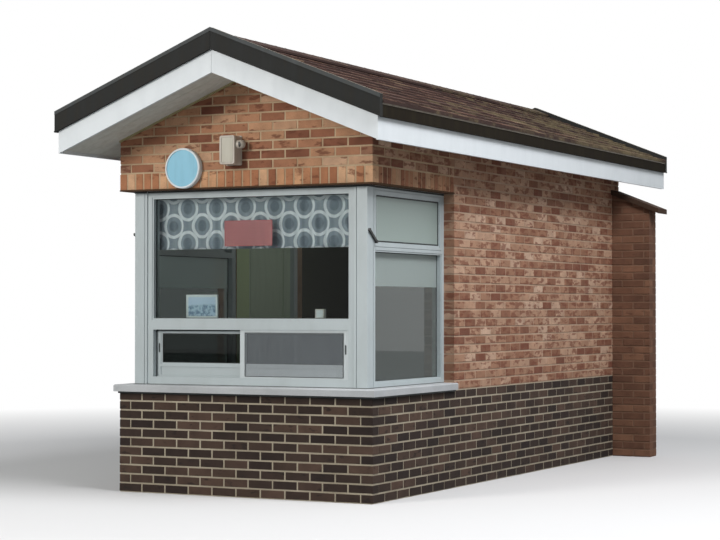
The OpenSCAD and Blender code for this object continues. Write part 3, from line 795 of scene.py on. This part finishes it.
def curtainMaterial(ringPitch, rowPitch, hemToRow, ringStart, ringRadius, line, lineCore, disc, discSoft,
                    weave):
    # offset rows of rings that touch and so make a lattice, white on grey-blue
    shader = newMaterial("printed_cotton", Roughness=0.9, Sheen_Weight=0.2)
    u, v, _ = parts(wire("ShaderNodeUVMap", uv_map="cloth"))
    u, v = u - ringStart, v - hemToRow

    def toNearest(value, pitch, offset):
        return (calc("FRACT", value / pitch + offset) - 0.5) * pitch

    def distance(offset):
        across, up = toNearest(u, ringPitch, offset), toNearest(v, 2 * rowPitch, offset)
        return calc("SQRT", across * across + up * up)

    away = calc("MINIMUM", distance(0.0), distance(0.5))
    ring = spread(abs(away - ringRadius), line * lineCore, line, 1.0, 0.0)
    middle = spread(away, disc - discSoft, disc, 1.0, 0.0)
    ground = mix(middle, tint(146, 157, 168), tint(113, 124, 136))
    threads = noise(weave, 2)
    colour = shaded(mix(ring, ground, tint(242, 245, 250)), spread(threads, 0.3, 0.7, 0.92, 1.06))
    dress(shader, Base_Color=colour, Normal=bump(threads, 0.0004))


def makeCurtain(waves, depth, drift, stiffest, freeFrom, columns, rows, cutRow, thickness, pocket, pocketTurn,
                pocketSteps):
    low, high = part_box("valance")
    rodY, rodZ = (low.y + high.y) / 2, sum(corner.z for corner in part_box("curtain_rod")) / 2
    # the profile rises to the rod and goes over it in a sewn pocket
    profile = [(0.0, low.z + (rodZ - low.z) * i / rows) for i in range(rows)]
    for i in range(pocketSteps + 1):
        angle = math.pi * pocketTurn * i / pocketSteps
        profile.append((-pocket * math.cos(angle), rodZ + pocket * math.sin(angle)))
    lengths = [0.0]
    for (y0, z0), (y1, z1) in zip(profile, profile[1:]):
        lengths.append(lengths[-1] + math.hypot(y1 - y0, z1 - z0))
    bm = bmesh.new()
    uvLayer = bm.loops.layers.uv.new("cloth")
    grid, flat = [], [0.0]
    for column in range(columns + 1):
        share = column / columns
        phase = waves * 2 * math.pi * share
        for size, rate in drift:
            phase += size * math.sin(rate * share)
        line = []
        for y, z in profile:
            sway = depth * min(1.0, max(stiffest, (rodZ - z) / freeFrom)) * math.sin(phase)
            line.append(bm.verts.new((low.x + (high.x - low.x) * share, rodY + y + sway, z)))
        grid.append(line)
        if column:
            flat.append(flat[-1] + (grid[-1][cutRow].co - grid[-2][cutRow].co).length)
    for column in range(columns):
        for row in range(len(profile) - 1):
            corners = [(column, row), (column + 1, row), (column + 1, row + 1), (column, row + 1)]
            face = bm.faces.new([grid[c][r] for c, r in corners])
            face.smooth = True
            for loop, (c, r) in zip(face.loops, corners):
                loop[uvLayer].uv = (flat[c], lengths[r])
    piece = meshObject("curtain", bm, "printed_cotton")
    solid = piece.modifiers.new("thickness", "SOLIDIFY")
    solid.thickness = thickness
    solid.offset = 0.0
    settle(piece)
    ride(piece, "curtain", "valance")
    print("curtain cut", round(flat[-1], 3), "by", round(lengths[-1], 3), "m")


curtainMaterial(**printLook)
makeCurtain(**curtainLook)


# Ridge of the roof: bent shingles, each lapping the one behind it

capLook = dict(long=0.2, halfWidth=0.146, thickness=0.005, lift=0.008)
capFit = dict(step=0.148, end=0.002, rise=0.002, turn=0.012)


def capTree():
    tree, given = newTree("ridgeCaps", Int="caps seed", Material="finish",
                          Float="first step long halfWidth thickness top lift pitch")
    line = wire("GeometryNodeMeshLine", {
        "Count": given.caps, "Start Location": joined(0.0, given.first, given.top),
        "Offset": joined(0.0, given.step, 0.0)})
    x, y, z = place()
    sag = z - abs(x) * given.pitch + (0.5 - y / given.long) * given.lift
    bent = moved(cube(5, Size=joined(given.halfWidth * 2, given.long, given.thickness)), joined(x, y, sag))
    turn = chance(given.seed, -capFit["turn"], capFit["turn"])
    laid = instances(line, bent, Rotation=joined(0.0, 0.0, turn))
    addNode("NodeGroupOutput", {0: painted(realized(toned(laid, given.seed + 1)), given.finish)})
    return tree


def makeRidge():
    low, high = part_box("ridge_cap")
    room = high.y - low.y - capLook["long"] - 2 * capFit["end"]
    count = round(room / capFit["step"]) + 1
    grow("ridge_shingles", "shingle", capTree(), first=low.y + capFit["end"] + capLook["long"] / 2,
         step=room / (count - 1), caps=count, pitch=roofPitch, seed=57, finish=looks["shingle_granules"],
         top=high.z - capLook["lift"] - capLook["thickness"] / 2 + capFit["rise"], **capLook)


makeRidge()


# Things behind the glass

plateGap = 0.0006
# rim, sunk face and rounded edge of each
plates = dict(notice=(0.024, 0.0015, 0.001), red=(0.006, 0.0006, 0.0008), box=(0.01, 0.003, 0.003))
noticeLook = dict(skyline=0.55, soft=0.01, ragged=0.04, raggedSize=0.05, cloud=0.03)


def framedPlate(name, node, slot, finishes, rim, sunk, edge):
    # a shallow plate with a raised rim, its face towards the front
    low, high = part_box(node)
    low.y = max(low.y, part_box("front_pane")[1].y + plateGap)  # so that it doesn't cut the glass
    bm = bmesh.new()
    addBlock(bm, low, high)
    front = min(bm.faces, key=lambda face: face.calc_center_median().y)
    bmesh.ops.inset_individual(bm, faces=[front], thickness=rim, depth=0.0)
    made = bmesh.ops.inset_individual(bm, faces=[front], thickness=sunk, depth=-sunk)
    front.material_index = 1
    for face in made["faces"]:
        face.material_index = 0
    outer = [side for side in bm.edges if all(
        any(abs(v.co[a] - c[a]) < 1e-6 for c in (low, high)) for v in side.verts for a in (0, 2))]
    bmesh.ops.bevel(bm, geom=outer, offset=edge, segments=2, affect="EDGES")
    ride(meshObject(name, bm, *finishes), slot, node)


def noticeMaterial(skyline, soft, ragged, raggedSize, cloud):
    # a plain print: pale above, cloudy blue patches below
    low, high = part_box("notice_board")
    shader = newMaterial("notice_print", Roughness=0.35)
    level = parts(where())[2] + noise(raggedSize, 2) * ragged
    middle = low.z + (high.z - low.z) * skyline + ragged / 2
    patches = ramp(noise(cloud, 3), (0.42, 96, 124, 152), (0.56, 168, 194, 214))
    share = spread(level, middle - soft, middle + soft, 0.0, 1.0)
    dress(shader, Base_Color=mix(share, patches, tint(186, 208, 228)))


noticeMaterial(**noticeLook)
framedPlate("notice", "notice_board", "white_plastic", ("rim_white", "notice_print"), *plates["notice"])
framedPlate("plate", "red_plate", "red_plastic", ("red_plastic", "plate_red"), *plates["red"])
framedPlate("box_on_rail", "sill_box", "white_plastic", ("white_plastic", "rim_white"), *plates["box"])


# Gaskets round the panes, and beads round the sunk panels of the door

gasketLook = dict(rebate=0.01, width=0.005, awningWidth=0.011, thick=0.003, pane=0.006)
beadLook = dict(inset=0.11, railLow=0.89, railHigh=1.01, sink=0.006, gap=0.0003, width=0.02, stand=0.004)


def makeGaskets(rebate, width, awningWidth, thick, pane):
    bm = bmesh.new()
    inset = Vector((rebate,) * 3)
    for node, axis, wide in (("front_pane", 1, width), ("left_sash_glass", 1, width),
                             ("right_sash_glass", 1, width), ("side_panes", 0, width),
                             ("awning_glass", 0, awningWidth)):
        low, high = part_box(node)
        sides = [(low.y, high.y)] if axis else [(high.x - pane, high.x), (low.x, low.x + pane)]
        for front, back in sides:
            for face, out in ((front, -1), (back, 1)):
                start = face + out * hair
                addRing(bm, axis, low + inset, high - inset, start, start + out * thick, wide)
    trim("glazing_gaskets", bm, "black_trim", "rubber")


def makeDoorBeads(inset, railLow, railHigh, sink, gap, width, stand):
    bm = bmesh.new()
    low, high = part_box("door_leaf")
    edge = inset + gap
    for face, out in ((low.x, -1), (high.x, 1)):
        start, end = face - out * (sink - gap), face + out * stand
        for z0, z1 in ((low.z + edge, railLow - gap), (railHigh + gap, high.z - edge)):
            addRing(bm, 0, (0, low.y + edge, z0), (0, high.y - edge, z1), start, end, width)
    trim("door_beads", bm, "door_paint", "door_paint")


makeGaskets(**gasketLook)
makeDoorBeads(**beadLook)


# Metal along the roof's edges, placed by its height over the slope of the eave boards' lower edge

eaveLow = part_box("fascia_boards")[0].z
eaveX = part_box("fascia_boards")[1].x
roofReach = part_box("eave_trims")[1].x
boardRise = 0.319
dripLook = dict(metal=0.0015, flange=0.01, leg=0.014, legOut=(0.0003, 0.003), lip=0.006, drop=0.057)
flashingLook = dict(lip=0.006, out=0.0025, down=0.026, up=0.0018)
soffitLook = dict(bead=0.014, gap=0.0005)
barFaces = ((0, 1, 2, 3), (7, 6, 5, 4), (0, 4, 5, 1), (1, 5, 6, 2), (2, 6, 7, 3), (3, 7, 4, 0))


def roofZ(x, rise):
    return eaveLow + rise + roofPitch * (eaveX - abs(x))


def gableBars(bm, ends, reach, inner, outer, low, high):
    # bars up both slopes at the front and the rear, from one distance outside a face to another
    for sign in (1, -1):
        for face, out in zip(ends, (-1, 1)):
            verts = [bm.verts.new((sign * x, y, roofZ(x, rise)))
                     for y in sorted((face + out * inner, face + out * outer))
                     for x, rise in ((0.0, low), (reach, low), (reach, high), (0.0, high))]
            for corners in barFaces:
                bm.faces.new([verts[c] for c in corners])


def makeDripEdges(metal, flange, leg, legOut, lip, drop):
    bm = bmesh.new()
    gableBars(bm, (roofLow.y, roofHigh.y), roofReach, flange, -metal, boardRise + hair, boardRise + metal)
    # under the lowest course, along the eave
    face = roofReach - lip
    low, high = roofZ(face, boardRise - drop - leg), roofZ(face, boardRise - drop - near)
    addPair(bm, (face + legOut[0], roofLow.y, low), (face + legOut[1], roofHigh.y, high))
    trim("drip_edges", bm, "metal", "edge_metal")


def makeFlashings(lip, out, down, up):
    # folded strips over the top of the gables' black boards
    bm = bmesh.new()
    low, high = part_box("verge_trims")
    gableBars(bm, (low.y + lip, high.y - lip), roofReach, hair, out, boardRise - down, boardRise + up)
    trim("verge_flashings", bm, "black_trim", "flashing_paint")


def makeSoffitBead(bead, gap):
    # the small moulding where the soffit meets the gable bricks
    bm = bmesh.new()
    rise = (gableTop - eaveLow) - roofPitch * eaveX
    gableBars(bm, (frontFace, rearFace), halfWidth, 0, bead, rise - bead, rise - gap)
    trim("soffit_beads", bm, "soffit_board", "bead_paint")


makeDripEdges(**dripLook)
makeFlashings(**flashingLook)
makeSoffitBead(**soffitLook)


# Insect screen on the outer sliding window, over its glass and its foot

screenLook = dict(pitch=0.002, gauge=0.00032, side=0.046, foot=0.029, head=0.038, spline=0.004, stand=0.0006,
                  apart=0.0005, splineOut=0.0026)


def screenTree():
    # wires across and up between two corners
    tree, given = newTree("insectScreen", Vector="low high", Float="pitch gauge", Material="finish")
    lowX, lowY, lowZ = parts(given.low)
    highX, highY, highZ = parts(given.high)
    wide, tall = highX - lowX, highZ - lowZ
    pitch, gauge, half = given.pitch, given.gauge, given.pitch * 0.5

    def wires(length, start, step, scale):
        line = wire("GeometryNodeMeshLine", {
            "Count": calc("FLOOR", length / pitch), "Start Location": start, "Offset": step})
        return instances(line, cube(), Scale=scale)

    upright = wires(wide, joined(lowX + half, lowY, (lowZ + highZ) * 0.5), joined(pitch, 0.0, 0.0),
                    joined(gauge, gauge, tall))
    across = wires(tall, joined((lowX + highX) * 0.5, highY, lowZ + half), joined(0.0, 0.0, pitch),
                   joined(wide, gauge, gauge))
    addNode("NodeGroupOutput", {0: painted(realized(together(upright, across)), given.finish)})
    return tree


def makeScreen(pitch, gauge, side, foot, head, spline, stand, apart, splineOut):
    low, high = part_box("right_sash")
    lowCorner = Vector((low.x + side, low.y - stand - apart, low.z + foot))
    highCorner = Vector((high.x - side, low.y - stand, high.z - head))
    grow("insect_screen", "black_trim", screenTree(), low=lowCorner, high=highCorner, pitch=pitch,
         gauge=gauge, finish=looks["screen_wire"])
    bm = bmesh.new()
    rim = Vector((spline, 0, spline))
    addRing(bm, 1, lowCorner - rim, highCorner + rim, low.y - hair, low.y - splineOut, spline)
    trim("screen_spline", bm, "black_trim", "rubber")


makeScreen(**screenLook)


# Seals, sealant and the steel over the windows

sealLook = dict(pile=0.0022, hang=0.01, lip=0.014, side=0.008, lap=0.002, bead=0.014, out=0.009, foot=0.006,
                head=0.015, stand=0.0015, gap=0.0003, pull=(0.011, 0.066), pullAt=0.025, pullFloor=0.0046,
                lining=0.0012)


def bayStrip(bm, low, high, stand, index):
    # a strip round the bay on the faces of the frame, the posts and the side windows
    front, posts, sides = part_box("front_frame"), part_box("corner_posts"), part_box("side_frames")
    out = posts[1].x + stand
    addBlock(bm, (front[0].x, front[0].y - stand, low), (front[1].x, front[0].y - hair, high), index)
    addPair(bm, (front[1].x, posts[0].y - stand, low), (out, posts[0].y - hair, high), index)
    addPair(bm, (posts[1].x + hair, posts[0].y - hair, low), (out, posts[1].y, high), index)
    addPair(bm, (sides[1].x + hair, posts[1].y, low), (sides[1].x + stand, bayEnd, high), index)


def makeSeals(pile, hang, lip, side, lap, bead, out, foot, head, stand, gap, pull, pullAt, pullFloor, lining):
    bm = bmesh.new()
    # dark pile strips before the inner sliding window: partly a real seal, partly a painted shadow under the
    # head
    inner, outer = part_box("left_sash"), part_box("right_sash")
    back, lipFoot = inner[0].y - gap, inner[1].z - lip
    addBlock(bm, (inner[0].x, back - pile, lipFoot - hang), (outer[0].x - lap, back, lipFoot + lap))
    addBlock(bm, (inner[0].x, back - pile, inner[0].z + lip), (inner[0].x + side, back, lipFoot - hang))
    # dark linings in the finger pulls
    width, height = pull
    middle = sum(corner.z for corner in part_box("right_sash_glass")) / 2
    for sash, x in ((outer, outer[1].x - pullAt), (inner, inner[0].x + pullAt)):
        floor = sash[0].y + pullFloor
        addBlock(bm, (x - width / 2, floor - lining, middle - height / 2),
                 (x + width / 2, floor, middle + height / 2))
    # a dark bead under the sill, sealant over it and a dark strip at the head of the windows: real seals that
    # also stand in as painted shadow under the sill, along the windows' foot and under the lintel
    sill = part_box("window_sill")
    low, high = sill[0].z - bead, sill[0].z - gap
    addBlock(bm, (-halfWidth - out, frontFace - out, low), (halfWidth + out, frontFace, high))
    addPair(bm, (halfWidth, frontFace, low), (halfWidth + out, bayEnd, high))
    bayStrip(bm, sill[1].z + gap, sill[1].z + foot, stand, 1)
    bayStrip(bm, lintelBottom - head, lintelBottom - lintelLook["plate"] - gap, stand, 0)
    trim("seals", bm, "black_trim", "rubber", "sealant")


def makeAngles(plate, angle, stand, back):
    # the steel that carries the bricks over the windows
    bm = bmesh.new()
    low, middle, high = lintelBottom - plate, lintelBottom - hair, lintelBottom + angle
    edge = halfWidth + stand
    addBlock(bm, (-edge, frontFace - stand, low), (edge, frontFace + back, middle))
    addBlock(bm, (-edge, frontFace - stand, middle), (edge, frontFace - hair, high))
    addPair(bm, (halfWidth - back, frontFace + back, low), (edge, bayEnd, middle))
    addPair(bm, (halfWidth + hair, frontFace - hair, middle), (edge, bayEnd, high))
    trim("lintel_angles", bm, "black_trim", "angle_paint")


makeSeals(**sealLook)
makeAngles(**lintelLook)


# Lamp on the gable: the diffuser in its recess, and the dark window of its sensor

lampLook = dict(middle=(-0.066, 2.525), depth=0.105, sink=0.0036, lens=(0.093, 0.176), corner=0.007, ribs=13,
                rib=0.0016, steps=(8, 12))
eyeLook = dict(radius=0.032, ball=(0.028, 0.06, 2.565), lift=0.0008, opening=0.72, aim=(-0.3, -1.0, -0.1),
               count=6, around=24, edge=0.002)


def makeLampLens(middle, depth, sink, lens, corner, ribs, rib, steps):
    # ribbed, with rounded corners
    (wide, high), (middleX, middleZ) = lens, middle
    across, up = ribs * steps[0], steps[1]
    face = frontFace - depth + sink
    bm = bmesh.new()
    grid = []
    for i in range(across + 1):
        x = (i / across - 0.5) * wide
        inset = max(0.0, abs(x) - wide / 2 + corner)
        reach = high - 2 * (corner - math.sqrt(max(0.0, corner ** 2 - inset ** 2)))
        y = face - rib * abs(math.sin(math.pi * ribs * i / across))
        grid.append([bm.verts.new((middleX + x, y, middleZ + (j / up - 0.5) * reach)) for j in range(up + 1)])
    for i in range(across):
        for j in range(up):
            bm.faces.new([grid[i][j], grid[i][j + 1], grid[i + 1][j + 1], grid[i + 1][j]]).smooth = True
    trim("lamp_lens", bm, "white_plastic", "lamp_lens")


def makeLampEye(radius, ball, lift, opening, aim, count, around, edge):
    # a cap over the front of the ball beside the lamp
    x, out, z = ball
    middle = Vector((x, frontFace - out, z))
    turn = Vector(aim).to_track_quat("Z", "Y")
    bm = bmesh.new()

    def ringAt(tilt, size):
        turns = [2 * math.pi * i / around for i in range(around)]
        spots = [Vector((math.sin(tilt) * math.cos(a), math.sin(tilt) * math.sin(a), math.cos(tilt)))
                 for a in turns]
        return [bm.verts.new(middle + turn @ (spot * size)) for spot in spots]

    rings = [ringAt(opening * (i + 1) / count, radius + lift) for i in range(count)]
    rings.append(ringAt(opening, radius - edge))
    pole = bm.verts.new(middle + turn @ Vector((0, 0, radius + lift)))
    for i in range(around):
        j = (i + 1) % around
        bm.faces.new([pole, rings[0][i], rings[0][j]]).smooth = True
        for inner, wider in zip(rings, rings[1:]):
            bm.faces.new([inner[i], wider[i], wider[j], inner[j]]).smooth = True
    bm.faces.new(list(reversed(rings[-1])))
    trim("lamp_eye", bm, "black_trim", "eye_dark")


makeLampLens(**lampLook)
makeLampEye(**eyeLook)
print("trim and fittings made")

# Finishes of the CAD pieces that stay, and the pieces that each is for
nodeFinishes = {
    "frame_paint": "corner_posts front_frame left_sash side_frames awning_sashes door_frame",
    "sash_paint": "right_sash", "clear_glass": "front_pane", "tinted_glass": "left_sash_glass",
    "screen_glass": "right_sash_glass", "frosted_glass": "awning_glass", "filmed_glass": "side_panes",
    "dark_steel": "awning_stays", "brushed_steel": "curtain_rod door_handle", "door_paint": "door_leaf",
    "concrete_floor": "floor_slab", "stone_sill": "window_sill",
    "deck_concrete": "roof_slab_right roof_slab_left", "soffit_paint": "soffit_boards",
    "shingle_granules": "shingles_right shingles_left ridge_cap",
    "board_paint": "fascia_boards barge_boards", "trim_paint": "verge_trims", "eave_paint": "eave_trims",
    "rim_white": "disc_rim", "blue_plastic": "disc_face", "lamp_case": "wall_lamp", "cap_paint": "wing_caps"}
for finish, names in nodeFinishes.items():
    for name in names.split():
        cadNodes[name].data.materials.clear()
        cadNodes[name].data.materials.append(looks[finish])
print("finishes given to the frame's own nodes")


# Stage, light and camera

floorLook = dict(size=80.0, drop=0.001, clearFrom=5.0, clearTo=11.0, seenTone=0.68, unseenTone=0.3)
worldLook = dict(sky=(0.93, 0.97, 1.0, 1), strength=0.36)
white = (1, 1, 1, 1)
lamps = dict(
    key=dict(spot=(-4.5, -13.5, 5.8), aim=(0, -1.5, 1.5), size=4.0, power=880.0, colour=(1.0, 0.97, 0.93)),
    room=dict(spot=(0.45, -0.7, 2.2), aim=(-0.9, -0.6, 1.2), size=0.5, power=3.4, colour=(1.0, 0.98, 0.94)),
    side=dict(spot=(6.4, -3.6, 9.6), aim=(0.8, 0, 1.5), size=5.0, power=1180.0, colour=(0.98, 0.98, 1.0)))
# the photograph's standpoint, turned to the booth and with a longer lens
cameraLook = dict(spot=(7.121, -14.706, 1.38), aim=(0.62, -1.98, 1.66), lens=96.0, film=36.0)


def makeFloor(size, drop, clearFrom, clearTo, seenTone, unseenTone):
    bm = bmesh.new()
    bmesh.ops.create_grid(bm, x_segments=1, y_segments=1, size=size / 2)
    shader = newMaterial("stage_floor", Roughness=0.9)
    far = wire("ShaderNodeVectorMath", {0: where()}, "Value", operation="LENGTH")
    seen = wire("ShaderNodeLightPath", output="Is Camera Ray")
    # the booth stands on darker ground than the camera sees, so that its eaves keep their shade
    shade = spread(seen, 0.0, 1.0, unseenTone, seenTone)
    dress(shader, Base_Color=joined(shade, shade, shade))
    fade = spread(far, clearFrom, clearTo, 0, 1) * seen
    glow = wire("ShaderNodeEmission", {0: white, 1: 1.0})
    both = wire("ShaderNodeMixShader", {0: fade, 1: Wire(shader.outputs[0]), 2: glow})
    plug(both, bench["tree"].nodes["Material Output"].inputs[0])
    floor = meshObject("stage_floor", bm, "stage_floor")
    floor.location.z = -drop


def makeWorld(sky, strength):
    world = bpy.data.worlds.new("studio")
    bpy.context.scene.world = world
    world.use_nodes = True
    world.node_tree.nodes.clear()
    bench["tree"] = world.node_tree
    rays = addNode("ShaderNodeLightPath").outputs
    # white to the camera and in reflections, and plain light through the windows
    mirrored = Wire(rays["Is Glossy Ray"]) - Wire(rays["Is Transmission Ray"])
    seen = calc("MAXIMUM", Wire(rays["Is Camera Ray"]), mirrored)
    light = wire("ShaderNodeBackground", {0: sky, 1: strength})
    glow = wire("ShaderNodeBackground", {0: white, 1: 1.0})
    addNode("ShaderNodeOutputWorld", {0: wire("ShaderNodeMixShader", {0: seen, 1: light, 2: glow})})


def aimed(name, data, spot, aim):
    holder = bpy.data.objects.new(name, data)
    bpy.context.scene.collection.objects.link(holder)
    holder.location = spot
    holder.rotation_euler = (Vector(aim) - Vector(spot)).to_track_quat("-Z", "Y").to_euler()
    return holder


def areaLight(name, spot, aim, size, power, colour):
    lamp = bpy.data.lights.new(name, "AREA")
    lamp.shape, lamp.size, lamp.energy, lamp.color = "DISK", size, power, colour
    aimed(name, lamp, spot, aim)


def makeCamera(spot, aim, lens, film):
    camera = bpy.data.cameras.new("camera")
    camera.lens, camera.sensor_width = lens, film
    bpy.context.scene.camera = aimed("camera", camera, spot, aim)


makeFloor(**floorLook)
makeWorld(**worldLook)
for name, look in lamps.items():
    areaLight(name, **look)
makeCamera(**cameraLook)
bpy.context.scene.view_settings.view_transform = "Standard"
print("stage ready")
